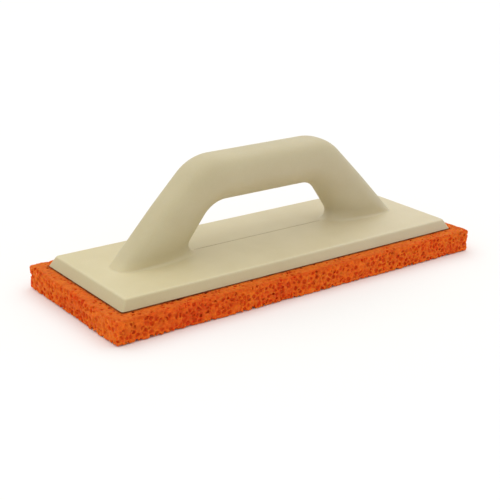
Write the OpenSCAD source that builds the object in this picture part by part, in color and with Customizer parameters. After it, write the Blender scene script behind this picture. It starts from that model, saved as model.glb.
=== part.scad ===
// Plasterer's hand float with a coarse sponge rubber face.
// One rigid plastic foam moulding makes the backing plate and the closed
// handle, and a slab of open-cell sponge rubber is glued under the plate.
// The origin is the centre of the working face, +X runs along the float
// and +Z points up through the handle.

/* [Sponge pad] */
// Length of the sponge slab
sponge_l = 280; // [260:1:320]
// Width of the sponge slab
sponge_w = 110; // [106:1:140]
// Thickness of the sponge slab
sponge_t = 15; // [10:1:30]
// Radius of the slab's worn upright corners
sponge_corner = 2; // [1:0.5:6]

/* [Glue line] */
// Thickness of the contact adhesive film
glue_t = 0.4; // [0.2:0.1:1]
// How far the film stops short of the plate's edge
glue_inset = 0.8; // [0.2:0.1:3]

/* [Backing plate] */
// Width of the sponge ledge left showing round the plate
ledge = 9; // [4:0.5:12]
// Height of the sloping edge all round
edge_h = 6.8; // [5:0.1:12]
// How far the end edges lean in
end_lean = 4; // [1:0.5:8]
// How far the side edges lean in
side_lean = 3; // [1:0.5:8]
// Rise of the hipped top from its edges to its ridge
ridge_rise = 1.4; // [0.5:0.1:4]
// Half the length of the ridge
ridge_half = 62; // [40:1:80]
// Radius of the plate's upright corners
plate_corner = 1.6; // [1:0.1:8]
// Radius that softens the top edge of the plate
edge_r = 1.2; // [0.5:0.1:2]

/* [Handle] */
// Height of the top of the grip above the working face
grip_top = 84.3; // [78:0.1:100]
// Depth of the grip from its top to its underside
grip_depth = 30; // [24:0.2:34]
// Width of the grip across the float
grip_w = 28; // [24:0.5:36]
// Width of the legs where they meet the plate
foot_w = 23; // [18:0.5:30]
// Distance from the centre to the toe of each foot
toe_x = 111.2; // [100:0.2:116]
// Distance from the centre to the upper outer corner, before rounding
shoulder_x = 50; // [44:0.2:60]
// Distance from the centre to the heel of each foot, before rounding
heel_x = 62; // [56:0.5:70]
// Distance from the centre to the upper inner corner, before rounding
throat_x = 42.6; // [38:0.2:50]
// Radius of the outer bend
shoulder_r = 32; // [15:1:34]
// Radius of the inner bend
throat_r = 22; // [6:0.5:24]
// Radius that blends each heel into the plate
heel_r = 6; // [2:0.5:8]
// Radius that blends each toe and the sides of each foot into the plate
toe_r = 2; // [1:0.5:4]
// Squareness of the section's outer half: 2 is an ellipse, and more is squarer
outer_squareness = 2.6; // [2:0.1:4]
// Squareness of the section's inner half, which the fingers close round
inner_squareness = 2.2; // [2:0.1:4]
// How much wider the outer half of the section is than the inner half
egg = 0.08; // [0:0.01:0.2]

/* [Hidden] */

plate_l = sponge_l - 2 * ledge;
plate_w = sponge_w - 2 * ledge;
plate_z = sponge_t + glue_t;
edge_z = plate_z + edge_h;
ridge_z = edge_z + ridge_rise;
grip_under = grip_top - grip_depth;
top_l = plate_l - 2 * end_lean;
top_w = plate_w - 2 * side_lean;
// The feet run this far into the plate before the plate's shape is cut away.
foot_sink = 3;
sliver = 0.01;

// Angles at which the rounded top edge of the plate is drawn.
edge_angles = [28, 48, 68, 90];

// Counts that set how finely the handle is faceted.
section_points = 40;
grip_steps = 8;
bend_steps = 14;
leg_steps = 10;
blend_steps = 7;

// ---- Functions for outlines in the handle's side view ----

function unit(v) = v / norm(v);

// Points of the arc of radius r that rounds the corner b of the path a, b, c.
function rounded(a, b, c, r, steps) =
    let (
        u = unit(a - b),
        v = unit(c - b),
        half = acos(u * v) / 2,
        start = b + u * r / tan(half),
        end = b + v * r / tan(half),
        centre = b + unit(u + v) * r / sin(half),
        from = atan2(start[1] - centre[1], start[0] - centre[0]),
        to = atan2(end[1] - centre[1], end[0] - centre[0]),
        turn = (to - from + 540) % 360 - 180
    )
    [for (i = [0:steps]) centre + r * [cos(from + turn * i / steps), sin(from + turn * i / steps)]];

function last(list) = list[len(list) - 1];

// Points after the first on the straight line from a to b.
function straight(a, b, steps) = [for (i = [1:steps]) a + (b - a) * i / steps];

// One outline from the middle of the grip down to the plate: grip, bend, leg, blend.
function outline(corner, foot, away, bend_r, blend_r) =
    let (
        middle = [0, corner[1]],
        bend = rounded(middle, corner, foot, bend_r, bend_steps),
        blend = rounded(corner, foot, foot + away, blend_r, blend_steps)
    )
    concat(
        [middle],
        straight(middle, bend[0], grip_steps),
        [for (i = [1:bend_steps]) bend[i]],
        straight(last(bend), blend[0], leg_steps),
        [for (i = [1:blend_steps]) blend[i]],
        [last(blend) - [0, foot_sink]]
    );

outer = outline([shoulder_x, grip_top], [toe_x, ridge_z], [50, 0], shoulder_r, toe_r);
inner = outline([throat_x, grip_under], [heel_x, ridge_z], [-50, 0], throat_r, heel_r);
rings = len(outer);

// Half the width of the section at height z, without the blend at the foot.
function leg_half_w(z) =
    let (t = min(1, max(0, (z - ridge_z) / (grip_under - ridge_z))))
    (foot_w + (grip_w - foot_w) * t) / 2;

// Outward spread of the blend round the foot at height z.
function spread(z) =
    let (up = min(toe_r, max(0, z - ridge_z)))
    toe_r - sqrt(toe_r * toe_r - pow(toe_r - up, 2));

function signed_power(x, p) = sign(x) * pow(abs(x), p);

// Fall of the hipped top below its ridge at x, y.
function roof_fall(x, y) =
    ridge_rise * max(
        abs(y) / (top_w / 2),
        (abs(x) - ridge_half) / (top_l / 2 - ridge_half),
        0
    );

// The foot follows the fall of the plate's top, and the grip ignores it.
function settle(p) =
    let (t = min(1, max(0, (grip_under - p[2]) / (grip_under - ridge_z))))
    [p[0], p[1], p[2] - t * roof_fall(p[0], p[1])];

// One closed ring of the handle, between an outer and an inner outline point.
function ring(a, b) =
    let (mid = (a + b) / 2, half = (a - b) / 2)
    [for (k = [0:section_points - 1])
        let (
            angle = 360 * k / section_points,
            squareness = sin(angle) > 0 ? outer_squareness : inner_squareness,
            s = signed_power(sin(angle), 2 / squareness),
            c = signed_power(cos(angle), 2 / squareness),
            z = mid[1] + half[1] * s
        )
        settle([mid[0] + half[0] * s, (leg_half_w(z) * (1 + egg * s) + spread(z)) * c, z])
    ];

module sponge_pad() {
    color("orangered")
        linear_extrude(height = sponge_t)
            offset(r = sponge_corner)
                square([sponge_l - 2 * sponge_corner, sponge_w - 2 * sponge_corner], center = true);
}

module adhesive_film() {
    color("saddlebrown")
        translate([0, 0, sponge_t + glue_t / 2])
            cube([plate_l - 2 * glue_inset, plate_w - 2 * glue_inset, glue_t], center = true);
}

// A thin slab with rounded corners, centred on the origin.
module thin_slab(l, w) {
    for (x = [-1, 1], y = [-1, 1])
        translate([x * (l / 2 - plate_corner), y * (w / 2 - plate_corner), 0])
            cylinder(h = sliver, r = plate_corner, $fn = 24);
}

// How far an edge that leans in by lean is set in at angle a of its rounded top.
function edge_inset(lean, a) =
    lean + edge_r / tan(45 + atan(lean / edge_h) / 2) - edge_r * cos(a);

// The plate is one hull: its flat underside, its rounded top edges and its ridge.
module plate_shape() {
    hull() {
        translate([0, 0, plate_z]) thin_slab(plate_l, plate_w);
        for (a = edge_angles)
            translate([0, 0, edge_z - edge_r * (1 - sin(a)) - sliver])
                thin_slab(plate_l - 2 * edge_inset(end_lean, a), plate_w - 2 * edge_inset(side_lean, a));
        translate([0, 0, ridge_z - sliver / 2])
            cube([2 * ridge_half, sliver, sliver], center = true);
    }
}

module backing_plate() {
    color("cornsilk") plate_shape();
}

// Sweeps the section along both outlines, from one foot over the grip to the other.
module handle_sweep() {
    right = [for (i = [rings - 1:-1:0]) ring(outer[i], inner[i])];
    left = [for (i = [1:rings - 1]) [for (p = ring(outer[i], inner[i])) [-p[0], p[1], p[2]]]];
    all = concat(right, left);
    n = section_points;
    points = [for (r = all) for (p = r) p];
    sides = [for (i = [0:len(all) - 2], k = [0:n - 1])
        [i * n + k, i * n + (k + 1) % n, (i + 1) * n + (k + 1) % n, (i + 1) * n + k]];
    first_cap = [for (k = [n - 1:-1:0]) k];
    last_cap = [for (k = [0:n - 1]) (len(all) - 1) * n + k];
    polyhedron(points = points, faces = concat(sides, [first_cap, last_cap]), convexity = 6);
}

module handle() {
    color("cornsilk")
        difference() {
            handle_sweep();
            plate_shape();
        }
}

sponge_pad();
adhesive_film();
backing_plate();
handle();
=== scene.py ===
import bmesh
import bpy
import math
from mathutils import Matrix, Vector, noise


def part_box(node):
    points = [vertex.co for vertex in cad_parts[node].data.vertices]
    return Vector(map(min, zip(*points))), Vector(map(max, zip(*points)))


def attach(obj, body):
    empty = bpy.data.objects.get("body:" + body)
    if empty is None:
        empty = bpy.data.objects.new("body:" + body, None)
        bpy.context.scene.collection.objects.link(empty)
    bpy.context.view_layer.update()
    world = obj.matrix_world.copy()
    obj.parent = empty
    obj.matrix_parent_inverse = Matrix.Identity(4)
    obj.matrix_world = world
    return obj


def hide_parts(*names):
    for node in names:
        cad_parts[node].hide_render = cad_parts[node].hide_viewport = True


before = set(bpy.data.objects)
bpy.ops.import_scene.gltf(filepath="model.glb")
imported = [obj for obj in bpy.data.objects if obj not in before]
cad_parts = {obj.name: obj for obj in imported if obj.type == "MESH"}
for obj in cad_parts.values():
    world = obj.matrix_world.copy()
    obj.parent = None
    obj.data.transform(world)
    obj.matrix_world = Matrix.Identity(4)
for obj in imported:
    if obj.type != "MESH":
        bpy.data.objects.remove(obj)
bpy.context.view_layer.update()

# ---------------------------------------------------------------------------
# Studio: a camera above the left front corner of the float, a pale floor that
# runs out of sight, an even white surround and one wide soft light from
# above and a little behind.
# ---------------------------------------------------------------------------

aim = Vector((-0.00758, 0.0, 0.01415))
camera_distance = 0.7418
turn, lift, tilt = math.radians(-36.36), math.radians(20.03), math.radians(0.62)
back = Vector((math.sin(turn) * math.cos(lift), -math.cos(turn) * math.cos(lift), math.sin(lift)))

camera_data = bpy.data.cameras.new("camera")
camera_data.lens = 81.06
camera_data.sensor_width = 36.0
camera_data.clip_start = 0.05
camera_data.clip_end = 60.0
camera = bpy.data.objects.new("camera", camera_data)
bpy.context.scene.collection.objects.link(camera)
camera.location = aim + back * camera_distance
camera.rotation_mode = "QUATERNION"
facing = (-back).to_track_quat("-Z", "Y")
camera.rotation_quaternion = facing @ Vector((1, 0, 0)).rotation_difference(
    Vector((math.cos(tilt), math.sin(tilt), 0)))
bpy.context.scene.camera = camera

# The floor lies a hair below the float, so that the two faces don't coincide.
floor_half, floor_z = 12, -0.0003
floor_corners = [(x * floor_half, y * floor_half, floor_z) for x, y in ((-1, -1), (1, -1), (1, 1), (-1, 1))]
floor_mesh = bpy.data.meshes.new("studio_floor")
floor_mesh.from_pydata(floor_corners, [], [(0, 1, 2, 3)])
studio_floor = bpy.data.objects.new("studio_floor", floor_mesh)
bpy.context.scene.collection.objects.link(studio_floor)

floor_paint = bpy.data.materials.new("pale_floor")
floor_paint.use_nodes = True
paint = floor_paint.node_tree.nodes["Principled BSDF"]
paint.inputs["Base Color"].default_value = (0.92, 0.92, 0.92, 1)
paint.inputs["Roughness"].default_value = 0.8
paint.inputs["Specular IOR Level"].default_value = 0.2
floor_mesh.materials.append(floor_paint)

surround = bpy.data.worlds.new("white_surround")
surround.use_nodes = True
surround.node_tree.nodes["Background"].inputs["Color"].default_value = (1, 0.985, 0.945, 1)
surround.node_tree.nodes["Background"].inputs["Strength"].default_value = 0.7
bpy.context.scene.world = surround

lamp_from = Vector((0.12, 0.32, 1.6))
lamp_data = bpy.data.lights.new("ceiling_softbox", "SUN")
lamp_data.energy = 1.4
lamp_data.angle = math.radians(95)
lamp_data.color = (0.975, 0.99, 1.0)
ceiling_softbox = bpy.data.objects.new("ceiling_softbox", lamp_data)
bpy.context.scene.collection.objects.link(ceiling_softbox)
ceiling_softbox.location = lamp_from
ceiling_softbox.rotation_mode = "QUATERNION"
ceiling_softbox.rotation_quaternion = (-lamp_from).to_track_quat("-Z", "Y")

scene = bpy.context.scene
scene.view_settings.view_transform = "Standard"
scene.view_settings.look = "None"
scene.view_settings.exposure = 0.0
scene.view_settings.gamma = 1.0

# ---------------------------------------------------------------------------
# Sponge pad: a slab of coarse natural sponge rubber, cut to size from a
# block, so its round cells lie open on every cut face. It is glued on by its
# top face, which was dressed and has finer cells, and its edges are ragged.
# ---------------------------------------------------------------------------

pad_low, pad_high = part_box("sponge_pad")


class NodeBench:
    """Adds nodes to a tree and joins them, so that a formula reads in order."""

    def __init__(self, tree):
        self.tree = tree

    def node(self, kind, settings=None, **inputs):
        made = self.tree.nodes.new(kind)
        for name, value in (settings or {}).items():
            setattr(made, name, value)
        for name, value in inputs.items():
            self.put(made.inputs[name.replace("_", " ")], value)
        return made

    def put(self, socket, value):
        if isinstance(value, bpy.types.NodeSocket):
            self.tree.links.new(value, socket)
        else:
            socket.default_value = value

    def math(self, operation, *values):
        made = self.tree.nodes.new("ShaderNodeMath")
        made.operation = operation
        for socket, value in zip(made.inputs, values):
            self.put(socket, value)
        return made.outputs[0]

    def vector(self, operation, *values):
        made = self.tree.nodes.new("ShaderNodeVectorMath")
        made.operation = operation
        for socket, value in zip(made.inputs, values):
            self.put(socket, value)
        return made.outputs[1 if operation in ("LENGTH", "DISTANCE", "DOT_PRODUCT") else 0]

    def scaled(self, vector, factor):
        made = self.tree.nodes.new("ShaderNodeVectorMath")
        made.operation = "SCALE"
        self.put(made.inputs[0], vector)
        self.put(made.inputs["Scale"], factor)
        return made.outputs[0]

    def slope(self, value, start, end, first, last, smooth=False):
        """A number that goes from first to last as value goes from start to end, and is level beyond."""
        kind = "SMOOTHSTEP" if smooth else "LINEAR"
        made = self.node("ShaderNodeMapRange", {"interpolation_type": kind}, Value=value)
        for label, number in (("From Min", start), ("From Max", end), ("To Min", first), ("To Max", last)):
            made.inputs[label].default_value = number
        return made.outputs[0]

    def tones(self, value, *stops):
        """A colour that follows value through stops, each a place and its red, green and blue."""
        made = self.node("ShaderNodeValToRGB", Fac=value)
        elements = made.color_ramp.elements
        while len(elements) < len(stops):
            elements.new(0.5)
        for element, (at, red, green, blue) in zip(elements, stops):
            element.position = at
            element.color = (red, green, blue, 1)
        return made.outputs["Color"]

    def bump(self, height, strength, distance):
        made = self.node("ShaderNodeBump", Height=height)
        made.inputs["Strength"].default_value = strength
        made.inputs["Distance"].default_value = distance
        return made.outputs[0]


sponge_tree = bpy.data.node_groups.new("open_cell_sponge", "GeometryNodeTree")
for label, kind, value in (
    ("Length", "NodeSocketFloat", 280.0),
    ("Width", "NodeSocketFloat", 110.0),
    ("Thickness", "NodeSocketFloat", 15.0),
    ("Hidden length", "NodeSocketFloat", 256.0),
    ("Hidden width", "NodeSocketFloat", 86.0),
    ("Cell pitch", "NodeSocketFloat", 3.3),
    ("Largest cell", "NodeSocketFloat", 2.2),
    ("Smallest cell", "NodeSocketFloat", 1.25),
    ("Web", "NodeSocketFloat", 0.7),
    ("Cut depth", "NodeSocketFloat", 1.15),
    ("Raggedness", "NodeSocketFloat", 0.9),
    ("Voxel", "NodeSocketFloat", 0.55),
    ("Seed", "NodeSocketFloat", 7.0),
    ("Rubber", "NodeSocketMaterial", None),
):
    made = sponge_tree.interface.new_socket(label, in_out="INPUT", socket_type=kind)
    if value is not None:
        made.default_value = value
sponge_tree.interface.new_socket("Geometry", in_out="INPUT", socket_type="NodeSocketGeometry")
sponge_tree.interface.new_socket("Geometry", in_out="OUTPUT", socket_type="NodeSocketGeometry")

bench = NodeBench(sponge_tree)
given = bench.node("NodeGroupInput").outputs
length, width, thickness = given["Length"], given["Width"], given["Thickness"]

# All lengths in the tree are millimetres; position comes in metres.
place = bench.scaled(bench.node("GeometryNodeInputPosition").outputs[0], 1000.0)
shift = bench.node("ShaderNodeCombineXYZ", X=given["Seed"], Y=3.7, Z=9.1).outputs[0]
seeded = bench.vector("ADD", place, shift)

# Slow swells in the cut faces, and torn edges.
swell = bench.node("ShaderNodeTexNoise", Vector=seeded, Scale=0.035, Detail=1.0).outputs[0]
torn = bench.node("ShaderNodeTexNoise", Vector=seeded, Scale=0.3, Detail=3.0, Roughness=0.6).outputs[0]
wander_reach = 2.2
wander = bench.math("ADD", bench.math("MULTIPLY", bench.math("SUBTRACT", swell, 0.5), wander_reach),
                    bench.math("MULTIPLY", bench.math("SUBTRACT", torn, 0.5), wander_reach))
wander = bench.math("MULTIPLY", wander, given["Raggedness"])

apart = bench.node("ShaderNodeSeparateXYZ", Vector=place).outputs
from_end = bench.math("SUBTRACT", bench.math("MULTIPLY", length, 0.5), bench.math("ABSOLUTE", apart["X"]))
from_side = bench.math("SUBTRACT", bench.math("MULTIPLY", width, 0.5), bench.math("ABSOLUTE", apart["Y"]))
from_top = bench.math("SUBTRACT", thickness, apart["Z"])
from_base = apart["Z"]
ragged_end = bench.math("ADD", from_end, wander)
ragged_side = bench.math("ADD", from_side, wander)
top_share = 0.25
ragged_top = bench.math("ADD", from_top, bench.math("MULTIPLY", wander, top_share))
upright_softness, brow_softness, base_softness = 1.6, 2.2, 0.8
sides = bench.math("SMOOTH_MIN", ragged_end, ragged_side, upright_softness)
depth = bench.math("SMOOTH_MIN", sides, ragged_top, brow_softness)
depth = bench.math("SMOOTH_MIN", depth, from_base, base_softness)

# Round cells of many sizes, with the places of their centres warped.
warp = bench.node("ShaderNodeTexNoise", Vector=seeded, Scale=0.35, Detail=2.0).outputs["Color"]
warp_reach = 0.5
warp = bench.scaled(bench.vector("SUBTRACT", warp, (0.5, 0.5, 0.5)), warp_reach)
warped = bench.vector("ADD", seeded, warp)


def cells(pitch, largest, smallest, offset):
    """How far a point lies inside its nearest cell, in millimetres, with a web left between neighbours."""
    moved = bench.vector("ADD", warped, (offset, -offset, 2 * offset))
    lattice = bench.scaled(moved, bench.math("DIVIDE", 1.0, pitch))
    found = bench.node("ShaderNodeTexVoronoi", Vector=lattice, Scale=1.0)
    chance = bench.node("ShaderNodeSeparateXYZ", Vector=found.outputs["Color"]).outputs["X"]
    spread = bench.math("MULTIPLY", bench.math("SUBTRACT", largest, smallest), chance)
    radius = bench.math("ADD", smallest, spread)
    ball = bench.math("SUBTRACT", radius, bench.math("MULTIPLY", found.outputs["Distance"], pitch))
    rim = bench.node("ShaderNodeTexVoronoi", {"feature": "DISTANCE_TO_EDGE"}, Vector=lattice, Scale=1.0)
    wall = bench.math("SUBTRACT", bench.math("MULTIPLY", rim.outputs["Distance"], pitch),
                      bench.math("MULTIPLY", given["Web"], 0.5))
    return bench.math("MINIMUM", ball, wall)


# The dressed top has only small cells.
near_top = bench.slope(from_top, 0.6, 2.6, 0.55, 1.0)
large = cells(given["Cell pitch"], bench.math("MULTIPLY", given["Largest cell"], near_top),
              bench.math("MULTIPLY", given["Smallest cell"], near_top), 0.0)
# Between the large cells lie small ones, in these shares of their pitch and sizes.
small_pitch, small_largest, small_smallest, small_offset = 0.55, 0.3, 0.15, 31.0
small = cells(bench.math("MULTIPLY", given["Cell pitch"], small_pitch),
              bench.math("MULTIPLY", given["Largest cell"], small_largest),
              bench.math("MULTIPLY", given["Smallest cell"], small_smallest), small_offset)
hollow = bench.math("MAXIMUM", large, small)
rubber = bench.math("MINIMUM", depth, bench.math("MULTIPLY", hollow, -1.0))
core = bench.math("SUBTRACT", depth, given["Cut depth"])
rubber = bench.math("MAXIMUM", rubber, core)
# Nothing shows under the plate, so no cells are cut there.
covered_depth = 4.0
covered_end = bench.math("SUBTRACT", bench.math("MULTIPLY", given["Hidden length"], 0.5),
                         bench.math("ABSOLUTE", apart["X"]))
covered_side = bench.math("SUBTRACT", bench.math("MULTIPLY", given["Hidden width"], 0.5),
                          bench.math("ABSOLUTE", apart["Y"]))
covered = bench.math("MINIMUM", covered_end, covered_side)
covered = bench.math("MINIMUM", covered, bench.math("SUBTRACT", covered_depth, from_top))
rubber = bench.math("MAXIMUM", rubber, bench.math("MINIMUM", covered, depth))

# The volume holds the depth in millimetres, raised so that the air round the slab stays at nought.
surface_level = 10.0
density = bench.math("ADD", rubber, surface_level)
margin = 4.0
cloud_length = bench.math("ADD", length, 2 * margin)
cloud_width = bench.math("ADD", width, 2 * margin)
low = bench.node("ShaderNodeCombineXYZ", X=bench.math("MULTIPLY", cloud_length, -0.0005),
                 Y=bench.math("MULTIPLY", cloud_width, -0.0005), Z=-0.003).outputs[0]
high = bench.node("ShaderNodeCombineXYZ", X=bench.math("MULTIPLY", cloud_length, 0.0005),
                  Y=bench.math("MULTIPLY", cloud_width, 0.0005),
                  Z=bench.math("MULTIPLY", bench.math("ADD", thickness, 5.0), 0.001)).outputs[0]
cloud = bench.node("GeometryNodeVolumeCube", Density=density, Min=low, Max=high)
cloud.inputs["Background"].default_value = 0.0
cloud_height = bench.math("ADD", thickness, 2 * margin)
for axis, extent in (("X", cloud_length), ("Y", cloud_width), ("Z", cloud_height)):
    voxels = bench.math("CEIL", bench.math("DIVIDE", extent, given["Voxel"]))
    bench.put(cloud.inputs["Resolution " + axis], voxels)
skin = bench.node("GeometryNodeVolumeToMesh", Volume=cloud.outputs[0])
skin.inputs["Threshold"].default_value = surface_level
skin.inputs["Adaptivity"].default_value = 0.0
shell = bench.node("GeometryNodeSetShadeSmooth", Geometry=skin.outputs[0])
kept = bench.node("GeometryNodeStoreNamedAttribute", {"data_type": "FLOAT", "domain": "POINT"},
                  Geometry=shell.outputs[0])
kept.inputs["Name"].default_value = "cell_depth"
bench.put(kept.inputs["Value"], bench.math("MINIMUM", bench.math("MINIMUM", from_end, from_side),
                                           bench.math("MINIMUM", from_top, from_base)))
real = bench.node("GeometryNodeRealizeInstances", Geometry=kept.outputs[0])
coated = bench.node("GeometryNodeSetMaterial", Geometry=real.outputs[0], Material=given["Rubber"])
bench.node("NodeGroupOutput", Geometry=coated.outputs[0])

sponge_rubber = bpy.data.materials.new("sponge_rubber")
sponge_rubber.use_nodes = True
shade = NodeBench(sponge_rubber.node_tree)
rubber_skin = sponge_rubber.node_tree.nodes["Principled BSDF"]
where = shade.scaled(shade.node("ShaderNodeTexCoord").outputs["Object"], 1000.0)
inside = shade.node("ShaderNodeAttribute", {"attribute_name": "cell_depth"}).outputs["Fac"]
# The deeper a point lies inside the slab's faces, the darker and redder it is painted: painted shade in the
# pores.
deepest_tone = 4.0
pit_shaded_face = shade.tones(shade.math("DIVIDE", inside, deepest_tone), (0.0, 0.88, 0.163, 0.011),
                       (0.2, 0.82, 0.1, 0.008), (0.6, 0.72, 0.055, 0.005))
patches = shade.node("ShaderNodeTexNoise", Vector=where, Scale=0.12, Detail=2.0).outputs[0]
mottle = shade.node("ShaderNodeTexNoise", Vector=where, Scale=0.48, Detail=2.0, Roughness=0.6).outputs[0]
grain = shade.node("ShaderNodeTexNoise", Vector=where, Scale=1.3, Detail=3.0, Roughness=0.65).outputs[0]
fine = shade.math("ADD", shade.math("MULTIPLY", mottle, 0.5), shade.math("MULTIPLY", grain, 0.25))
tone = shade.math("ADD", shade.math("MULTIPLY", patches, 0.25), fine)
mottled = shade.tones(tone, (0.36, 0.74, 0.58, 0.5), (0.64, 1.0, 1.16, 1.25))
tinted = shade.vector("MULTIPLY", pit_shaded_face, mottled)
height_up = shade.node("ShaderNodeSeparateXYZ", Vector=where).outputs["Z"]
# The top band of the slab, the ledge round the plate, is painted darker: painted shade.
ledge_painted_shade = shade.slope(height_up, 13.2, 14.8, 1.0, 0.8)
# The lowest few millimetres are painted brighter: painted light bounced from the floor. Along the plate's
# edge
# the rubber is darker: partly adhesive soaked in, partly painted shade under the plate.
floor_bounce_painted_light = shade.slope(height_up, 0.5, 5.0, 1.1, 1.0, smooth=True)
plate_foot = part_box("backing_plate")[1] * 1000
across = shade.node("ShaderNodeSeparateXYZ", Vector=shade.vector("ABSOLUTE", where)).outputs
clear_of_plate = shade.math("MAXIMUM", shade.math("SUBTRACT", across["X"], plate_foot.x),
                            shade.math("SUBTRACT", across["Y"], plate_foot.y))
# Darker near the plate's edge: partly adhesive soaked in, partly painted shade under the plate.
ragged_plate_clearance = shade.math("ADD", clear_of_plate, shade.math("MULTIPLY", grain, 1.2))
stain_and_shade_by_plate = shade.slope(ragged_plate_clearance, 0.4, 2.6, 0.45, 1.0, smooth=True)
below_ledge_band = shade.slope(height_up, 11.5, 13.5, 1.0, 0.0)
glue_stain_and_shade = shade.math("MAXIMUM", stain_and_shade_by_plate, below_ledge_band)
# The painted light, the painted shade and the glue stain together scale the rubber's colour.
light_shade_and_stain = shade.math("MULTIPLY", shade.math("MULTIPLY", ledge_painted_shade, floor_bounce_painted_light), glue_stain_and_shade)
shade.put(rubber_skin.inputs["Base Color"], shade.scaled(tinted, light_shade_and_stain))
shade.put(rubber_skin.inputs["Roughness"], shade.math("ADD", 0.6, shade.math("MULTIPLY", grain, 0.3)))
rubber_skin.inputs["Specular IOR Level"].default_value = 0.12
rubber_skin.inputs["Subsurface Weight"].default_value = 0.8
rubber_skin.inputs["Subsurface Radius"].default_value = (1.0, 0.22, 0.06)
rubber_skin.inputs["Subsurface Scale"].default_value = 0.0025
pits = shade.node("ShaderNodeTexVoronoi", Vector=where, Scale=1.4)
pit_relief = shade.math("MULTIPLY", shade.math("MINIMUM", pits.outputs["Distance"], 0.45), 0.5)
relief = shade.math("ADD", pit_relief, shade.math("MULTIPLY", grain, 0.3))
shade.put(rubber_skin.inputs["Normal"], shade.bump(relief, 0.7, 0.0004))


def grown(name, tree, settings):
    """Runs a geometry tree on an empty object and keeps the result as a plain mesh."""
    seed_object = bpy.data.objects.new(name + "_grower", bpy.data.meshes.new(name + "_grower"))
    bpy.context.scene.collection.objects.link(seed_object)
    modifier = seed_object.modifiers.new("grow", "NODES")
    modifier.node_group = tree
    sockets = {item.name: item.identifier for item in tree.interface.items_tree if item.in_out == "INPUT"}
    for label, value in settings.items():
        modifier[sockets[label]] = value
    bpy.context.view_layer.update()
    ready = seed_object.evaluated_get(bpy.context.evaluated_depsgraph_get())
    mesh = bpy.data.meshes.new_from_object(ready, preserve_all_data_layers=True,
                                           depsgraph=bpy.context.evaluated_depsgraph_get())
    bpy.data.objects.remove(seed_object)
    mesh.name = name
    piece = bpy.data.objects.new(name, mesh)
    bpy.context.scene.collection.objects.link(piece)
    return piece


open_cell_pad = grown("open_cell_pad", sponge_tree, {
    "Length": (pad_high.x - pad_low.x) * 1000,
    "Width": (pad_high.y - pad_low.y) * 1000,
    "Thickness": (pad_high.z - pad_low.z) * 1000,
    "Rubber": sponge_rubber,
})
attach(open_cell_pad, "root")
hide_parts("sponge_pad")

# ---------------------------------------------------------------------------
# Contact adhesive: a brushed amber film between the slab and the plate. It
# darkens as it ages, and its dark tone is also painted shade of the gap under
# the plate's edge, where it shows as a thin uneven line.
# ---------------------------------------------------------------------------

film_low, film_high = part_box("adhesive_film")


def rounded_outline(half_x, half_y, radius, spacing):
    """Points of a rounded rectangle round the origin, anticlockwise, with their outward normals."""
    found = []
    for turn_no, (cx, cy) in enumerate(((1, 1), (-1, 1), (-1, -1), (1, -1))):
        centre = Vector((cx * (half_x - radius), cy * (half_y - radius)))
        for i in range(7):
            a = math.radians(90 * turn_no + 15 * i)
            normal = Vector((math.cos(a), math.sin(a)))
            found.append((centre + normal * radius, normal))
        run = 2 * ((half_x - radius) if turn_no % 2 == 0 else (half_y - radius))
        start, normal = found[-1]
        along = Vector((-normal.y, normal.x))
        count = int(run / spacing)
        found += [(start + along * run * i / count, normal) for i in range(1, count)]
    return found


def mesh_piece(name, points, faces, material):
    """A smooth closed mesh from points in millimetres."""
    mesh = bpy.data.meshes.new(name)
    mesh.from_pydata([(x / 1000, y / 1000, z / 1000) for x, y, z in points], [], faces)
    work = bmesh.new()
    work.from_mesh(mesh)
    bmesh.ops.remove_doubles(work, verts=work.verts, dist=1e-7)
    bmesh.ops.recalc_face_normals(work, faces=work.faces)
    for face in work.faces:
        face.smooth = True
    work.to_mesh(mesh)
    work.free()
    mesh.materials.append(material)
    piece = bpy.data.objects.new(name, mesh)
    bpy.context.scene.collection.objects.link(piece)
    return piece


adhesive = bpy.data.materials.new("contact_adhesive")
adhesive.use_nodes = True
shade = NodeBench(adhesive.node_tree)
film_skin = adhesive.node_tree.nodes["Principled BSDF"]
where = shade.scaled(shade.node("ShaderNodeTexCoord").outputs["Object"], 1000.0)
streaks = shade.node("ShaderNodeTexNoise", Vector=where, Scale=0.35, Detail=4.0, Roughness=0.6).outputs[0]
# Dark amber: the adhesive's own colour, darkened further as painted shade of the gap under the plate.
amber_and_gap_shade = shade.tones(streaks, (0.35, 0.16, 0.045, 0.012), (0.7, 0.34, 0.1, 0.025))
shade.put(film_skin.inputs["Base Color"], amber_and_gap_shade)
shade.put(film_skin.inputs["Roughness"], shade.math("ADD", 0.3, shade.math("MULTIPLY", streaks, 0.3)))
shade.put(film_skin.inputs["Normal"], shade.bump(streaks, 0.5, 0.0003))

film_edge = rounded_outline(film_high.x * 1000 + 0.5, film_high.y * 1000 + 0.5, 3.5, 1.4)
film_base, film_top = film_low.z * 1000, film_high.z * 1000
film_points, film_faces = [], []
for (spot, normal) in film_edge:
    ooze = 0.45 * noise.noise(Vector((spot.x * 0.22, spot.y * 0.22, 4.0)))
    ooze += 0.2 * noise.noise(Vector((spot.x * 0.9, spot.y * 0.9, 9.0)))
    sink = 0.25 + 0.25 * noise.noise(Vector((spot.x * 0.5, spot.y * 0.5, 17.0)))
    rim = ((-3.0, film_base - sink), (ooze - 0.1, film_base - sink),
           (ooze + 0.15, (film_base + film_top) / 2), (ooze - 0.05, film_top - 0.02), (-3.0, film_top - 0.02))
    for out, z in rim:
        at = spot + normal * out
        film_points.append((at.x, at.y, z))
around = len(film_edge)
for i in range(around):
    for j in range(4):
        a, b = 5 * i + j, 5 * ((i + 1) % around) + j
        film_faces.append((a, b, b + 1, a + 1))
film_faces.append([5 * i for i in range(around)])
film_faces.append([5 * i + 4 for i in range(around)][::-1])
glue_line = mesh_piece("glue_line", film_points, film_faces, adhesive)
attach(glue_line, "root")
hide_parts("adhesive_film")

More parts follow.
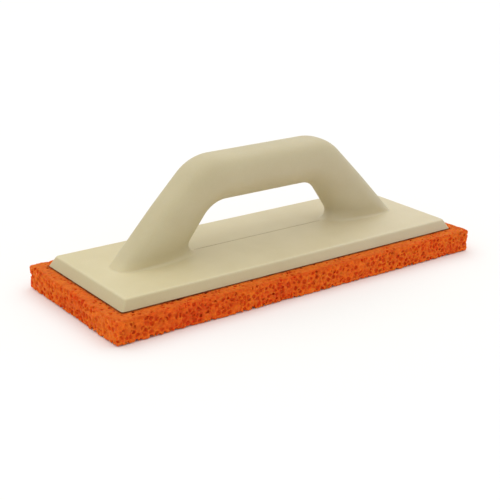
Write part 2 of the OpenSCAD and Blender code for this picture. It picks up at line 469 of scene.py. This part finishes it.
# ---------------------------------------------------------------------------
# Moulded body: backing plate and closed handle in one, moulded in rigid cream
# polyurethane foam with a tight smooth skin. The plate has bevelled edges and
# a very slight ridge, and the handle's legs flow into it with small fillets.
# ---------------------------------------------------------------------------

plate_low, plate_high = (v * 1000 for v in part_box("backing_plate"))
handle_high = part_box("handle")[1] * 1000

end_lean, side_lean = 4.0, 3.0
ridge_rise = 1.4
ridge_z = plate_high.z
edge_z = ridge_z - ridge_rise
top_x, top_y = plate_high.x - end_lean, plate_high.y - side_lean
edge_soft = 1.2

grip_top = handle_high.z
grip_under = grip_top - 30.0
grip_w, foot_w = 28.0, 23.0
shoulder_x, throat_x, toe_x, heel_x = 50.0, 42.6, 111.2, 62.0
shoulder_r, throat_r, toe_r, heel_r = 32.0, 22.0, 2.0, 6.0
outer_squareness, inner_squareness, egg = 2.6, 2.2, 0.08
points_round = 96


def corner_arc(a, b, c, radius, steps):
    """The arc that rounds corner b of the path a, b, c, as points from a's side to c's."""
    u, v = (a - b).normalized(), (c - b).normalized()
    half = u.angle(v) / 2
    start, end = b + u * radius / math.tan(half), b + v * radius / math.tan(half)
    centre = b + (u + v).normalized() * radius / math.sin(half)
    first = math.atan2(start.y - centre.y, start.x - centre.x)
    last = math.atan2(end.y - centre.y, end.x - centre.x)
    sweep = (last - first + math.pi) % (2 * math.pi) - math.pi
    turns = [first + sweep * i / steps for i in range(steps + 1)]
    return [centre + radius * Vector((math.cos(turn), math.sin(turn))) for turn in turns]


def side_outline(corner, foot, away, bend_r, blend_r):
    """From the middle of the grip down to the plate: grip, bend, leg and blend."""
    middle = Vector((0, corner.y))
    bend = corner_arc(middle, corner, foot, bend_r, 22)
    blend = corner_arc(corner, foot, foot + away, blend_r, 14)
    path = [middle.lerp(bend[0], i / 10) for i in range(10)] + bend
    path += [bend[-1].lerp(blend[0], i / 14) for i in range(1, 14)] + blend
    return path


outward, inward = Vector((50, 0)), Vector((-50, 0))
outer = side_outline(Vector((shoulder_x, grip_top)), Vector((toe_x, ridge_z)), outward, shoulder_r, toe_r)
inner = side_outline(Vector((throat_x, grip_under)), Vector((heel_x, ridge_z)), inward, throat_r, heel_r)


def fall(x, y):
    """How far the plate's top lies below its ridge."""
    across = min(1.0, abs(y) / top_y)
    along = max(0.0, (abs(x) - 40.0) / (top_x - 40.0)) ** 2
    return ridge_rise * (1 - (1 - across) * (1 - along))


def handle_ring(a, b):
    """One ring of the handle between the outer point a and the inner point b of its side view."""
    ring = []
    middle, half = (a + b) / 2, (a - b) / 2
    for k in range(points_round):
        angle = 2 * math.pi * k / points_round
        s, c = math.sin(angle), math.cos(angle)
        squareness = outer_squareness if s > 0 else inner_squareness
        s = math.copysign(abs(s) ** (2 / squareness), s) if abs(s) > 1e-9 else 0.0
        c = math.copysign(abs(c) ** (2 / squareness), c) if abs(c) > 1e-9 else 0.0
        x, z = middle.x + half.x * s, middle.y + half.y * s
        up = min(1.0, max(0.0, (z - ridge_z) / (grip_under - ridge_z)))
        width = (foot_w + (grip_w - foot_w) * up) / 2 * (1 + egg * s)
        lift_off = min(toe_r, max(0.0, z - ridge_z))
        width += toe_r - math.sqrt(toe_r ** 2 - (toe_r - lift_off) ** 2)
        y = width * c
        ring.append(Vector((x, y, z - (1 - up) * fall(x, y))))
    return ring


def half_plate_outline(half_x, half_y, radius):
    """The outline of half a plate, matched point for point with a ring of the handle."""
    eighth = points_round // 8
    side = [Vector(((half_x - radius) * i / (2 * eighth - 4), half_y)) for i in range(2 * eighth - 4)]
    side += [Vector((half_x - radius + radius * math.sin(a), half_y - radius + radius * math.cos(a)))
             for a in [math.pi / 2 * i / 8 for i in range(9)]]
    side += [Vector((half_x, (half_y - radius) * (1 - i / (eighth - 4)))) for i in range(1, eighth - 4 + 1)]
    lower = [Vector((p.x, -p.y)) for p in side[-2::-1]]
    crossing = [Vector((0, -half_y + half_y * i / eighth)) for i in range(1, 2 * eighth)]
    loop = side + lower + crossing
    return loop[eighth:] + loop[:eighth]


body_points, body_faces, highlight_weights = [], [], []
rings = [handle_ring(a, b) for a, b in zip(outer, inner)]
soft = half_plate_outline(top_x - edge_soft, top_y - edge_soft, 1.2)
sharp = half_plate_outline(top_x, top_y, 1.8)
foot = half_plate_outline(plate_high.x, plate_high.y, 1.7)
base_z = plate_low.z

rows = [(ring, 0.0) for ring in rings]
for t in (0.012, 0.04, 0.1, 0.2, 0.35, 0.5, 0.65, 0.8, 0.9, 0.96, 0.985, 1.0):
    row = []
    for inner_point, outer_point in zip(rings[-1], soft):
        x = inner_point.x + (outer_point.x - inner_point.x) * t
        y = inner_point.y + (outer_point.y - inner_point.y) * t
        row.append(Vector((x, y, ridge_z - fall(x, y))))
    rows.append((row, 0.0))
full_rows = len(rows)
edge_rows = []
top_edge = rows[-1][0]
for t in (0.17, 0.33, 0.5, 0.67, 0.83, 1.0):
    row = []
    for p, q, r in zip(top_edge, sharp, foot):
        corner = Vector((q.x, q.y, edge_z))
        low_end = Vector((r.x, r.y, base_z))
        after = corner + (low_end - corner).normalized() * edge_soft
        row.append(p * (1 - t) ** 2 + corner * (2 * t * (1 - t)) + after * t ** 2)
    # The rows round the plate's top edge carry the painted highlight, fully in the middle and half at the
    # sides.
    edge_rows.append((row, 1.0 if 0.3 < t < 0.9 else 0.5))
bevel_top = edge_rows[-1][0]
for t in (0.08, 0.3, 0.55, 0.8, 0.93):
    edge_rows.append(([p.lerp(Vector((q.x, q.y, base_z)), t) for p, q in zip(bevel_top, foot)], 0.0))
for inset, up in ((0.05, 0.25), (0.2, 0.06), (0.5, 0.0), (2.0, 0.0)):
    shrink_x, shrink_y = 1 - inset / plate_high.x, 1 - inset / plate_high.y
    edge_rows.append(([Vector((q.x * shrink_x, q.y * shrink_y, base_z + up)) for q in foot], 0.0))

eighth = points_round // 8
rim = [k % points_round for k in range(-eighth, 5 * eighth + 1)]
for side in (1, -1):
    first = len(body_points)
    for row, highlight_weight in rows:
        body_points += [(side * p.x, p.y, p.z) for p in row]
        highlight_weights += [highlight_weight] * points_round
    for r in range(full_rows - 1):
        for k in range(points_round):
            n = (k + 1) % points_round
            quad = [first + r * points_round + k, first + r * points_round + n,
                    first + (r + 1) * points_round + n, first + (r + 1) * points_round + k]
            body_faces.append(quad[::side])
    last_full = first + (full_rows - 1) * points_round
    before = [last_full + k for k in rim]
    for row, highlight_weight in edge_rows:
        here = [len(body_points) + i for i in range(len(rim))]
        body_points += [(side * row[k].x, row[k].y, row[k].z) for k in rim]
        highlight_weights += [highlight_weight] * len(rim)
        for i in range(len(rim) - 1):
            body_faces.append([before[i], before[i + 1], here[i + 1], here[i]][::side])
        before = here
    if side == 1:
        right_base = before
    else:
        body_faces.append(right_base + before[::-1][1:-1])

cream_plastic = bpy.data.materials.new("cream_plastic")
cream_plastic.use_nodes = True
shade = NodeBench(cream_plastic.node_tree)
skin_shader = cream_plastic.node_tree.nodes["Principled BSDF"]
where = shade.scaled(shade.node("ShaderNodeTexCoord").outputs["Object"], 1000.0)
clouding = shade.node("ShaderNodeTexNoise", Vector=where, Scale=0.025, Detail=4.0, Roughness=0.55).outputs[0]
speckle = shade.node("ShaderNodeTexNoise", Vector=where, Scale=0.9, Detail=2.0).outputs[0]
blend_tone = shade.math("ADD", shade.math("MULTIPLY", clouding, 0.8), shade.math("MULTIPLY", speckle, 0.2))
cream = shade.tones(blend_tone, (0.3, 0.60, 0.52, 0.33), (0.7, 0.66, 0.58, 0.385))
# Lighter cream along the rounded top edge of the plate, varied a little by the speckle: a painted highlight.
highlight_mask = shade.node("ShaderNodeAttribute", {"attribute_name": "painted_edge_highlight"}).outputs["Fac"]
highlight_strength = shade.math("MULTIPLY", highlight_mask, shade.math("ADD", 0.1, shade.math("MULTIPLY", speckle, 0.35)))
toned = shade.node("ShaderNodeMix", {"data_type": "RGBA"})
shade.put(toned.inputs[0], highlight_strength)
shade.put(toned.inputs[6], cream)
toned.inputs[7].default_value = (0.72, 0.66, 0.49, 1)
# The handle is painted darker from its feet up, and the bevels darker too: painted shade. One end is painted
# yellower and the other whiter: a painted tint of the light.
spot_at = shade.node("ShaderNodeSeparateXYZ", Vector=where).outputs
handle_painted_shade = shade.slope(spot_at["Z"], 23.0, 31.0, 1.0, 0.88, smooth=True)
bevel_painted_shade = shade.slope(spot_at["Z"], 20.8, 22.3, 0.92, 1.0, smooth=True)
end_painted_light_tint = shade.slope(spot_at["X"], -120.0, 120.0, 0.93, 1.05)
painted_shade = shade.math("MULTIPLY", handle_painted_shade, bevel_painted_shade)
painted_shade_and_tint = shade.node("ShaderNodeCombineXYZ", X=painted_shade, Y=painted_shade, Z=shade.math("MULTIPLY", painted_shade, end_painted_light_tint))
shade.put(skin_shader.inputs["Base Color"], shade.vector("MULTIPLY", toned.outputs[2], painted_shade_and_tint.outputs[0]))
gloss = shade.node("ShaderNodeTexNoise", Vector=where, Scale=0.07, Detail=5.0, Roughness=0.6).outputs[0]
shade.put(skin_shader.inputs["Roughness"], shade.math("ADD", 0.36, shade.math("MULTIPLY", gloss, 0.2)))
skin_shader.inputs["Specular IOR Level"].default_value = 0.4
skin_shader.inputs["Subsurface Weight"].default_value = 0.25
skin_shader.inputs["Subsurface Radius"].default_value = (1.0, 0.75, 0.45)
skin_shader.inputs["Subsurface Scale"].default_value = 0.003
orange_peel = shade.node("ShaderNodeTexNoise", Vector=where, Scale=0.55, Detail=3.0, Roughness=0.5).outputs[0]
waves = shade.node("ShaderNodeTexNoise", Vector=where, Scale=0.045, Detail=1.0).outputs[0]
relief = shade.math("ADD", shade.math("MULTIPLY", orange_peel, 0.06), waves)
shade.put(skin_shader.inputs["Normal"], shade.bump(relief, 0.5, 0.0006))

moulded_body = mesh_piece("moulded_body", body_points, body_faces, cream_plastic)
# Each vertex gets the weight of the painted highlight from its row.
highlight_at = {(round(p[0], 3), round(p[1], 3), round(p[2], 3)): r for p, r in zip(body_points, highlight_weights)}
painted_edge_highlight = moulded_body.data.attributes.new("painted_edge_highlight", "FLOAT", "POINT")
for vertex, value in zip(moulded_body.data.vertices, painted_edge_highlight.data):
    spot = vertex.co * 1000
    value.value = highlight_at.get((round(spot.x, 3), round(spot.y, 3), round(spot.z, 3)), 0.0)
# The ridge is crisp between the feet.
crisp_half = 52.2
for edge in moulded_body.data.edges:
    a, b = (moulded_body.data.vertices[i].co * 1000 for i in edge.vertices)
    on_middle = abs(a.y) < 1e-4 and abs(b.y) < 1e-4
    if on_middle and max(abs(a.x), abs(b.x)) < crisp_half and max(a.z, b.z) < ridge_z + 0.01:
        edge.use_edge_sharp = True
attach(moulded_body, "root")
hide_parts("backing_plate", "handle")

# ---------------------------------------------------------------------------
# Mould seam: where the two halves of the core under the grip met, a hairline
# of flash stands along the plate's ridge between the feet. It is part of the
# moulding, was only lightly scraped, and fades out at both ends.
# ---------------------------------------------------------------------------

seam_half, seam_taper, seam_steps = 52.0, 7.0, 80
seam_points, seam_faces = [], []
for i in range(seam_steps + 1):
    x = seam_half * (2 * i / seam_steps - 1)
    thin = min(1.0, (seam_half - abs(x)) / seam_taper + 0.05)
    tall = (0.14 + 0.06 * noise.noise(Vector((x * 0.3, 0.0, 7.0)))) * thin
    drift = 0.1 * noise.noise(Vector((x * 0.2, 5.0, 7.0)))
    for y, up in ((-0.4, -0.12), (-0.2, tall * 0.7), (0.0, tall), (0.2, tall * 0.7), (0.4, -0.12)):
        seam_points.append((x, y * (0.4 + 0.6 * thin) + drift, ridge_z + up))
for i in range(seam_steps):
    for j in range(5):
        a, b = 5 * i, 5 * (i + 1)
        seam_faces.append((a + j, b + j, b + (j + 1) % 5, a + (j + 1) % 5))
seam_faces.append(list(range(5)))
seam_faces.append([5 * seam_steps + j for j in range(5)][::-1])
# The seam's plastic is painted darker: partly dirt caught along the flash, partly painted shade of the
# hairline.
seam_plastic = cream_plastic.copy()
seam_plastic.name = "seam_plastic"
seam_dirt_and_shade_tones = [n for n in seam_plastic.node_tree.nodes if n.type == "VALTORGB"][0].color_ramp
seam_dirt_and_shade_tones.elements[0].color = (0.40, 0.31, 0.17, 1)
seam_dirt_and_shade_tones.elements[1].color = (0.54, 0.44, 0.27, 1)
mould_seam = mesh_piece("mould_seam", seam_points, seam_faces, seam_plastic)
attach(mould_seam, "root")
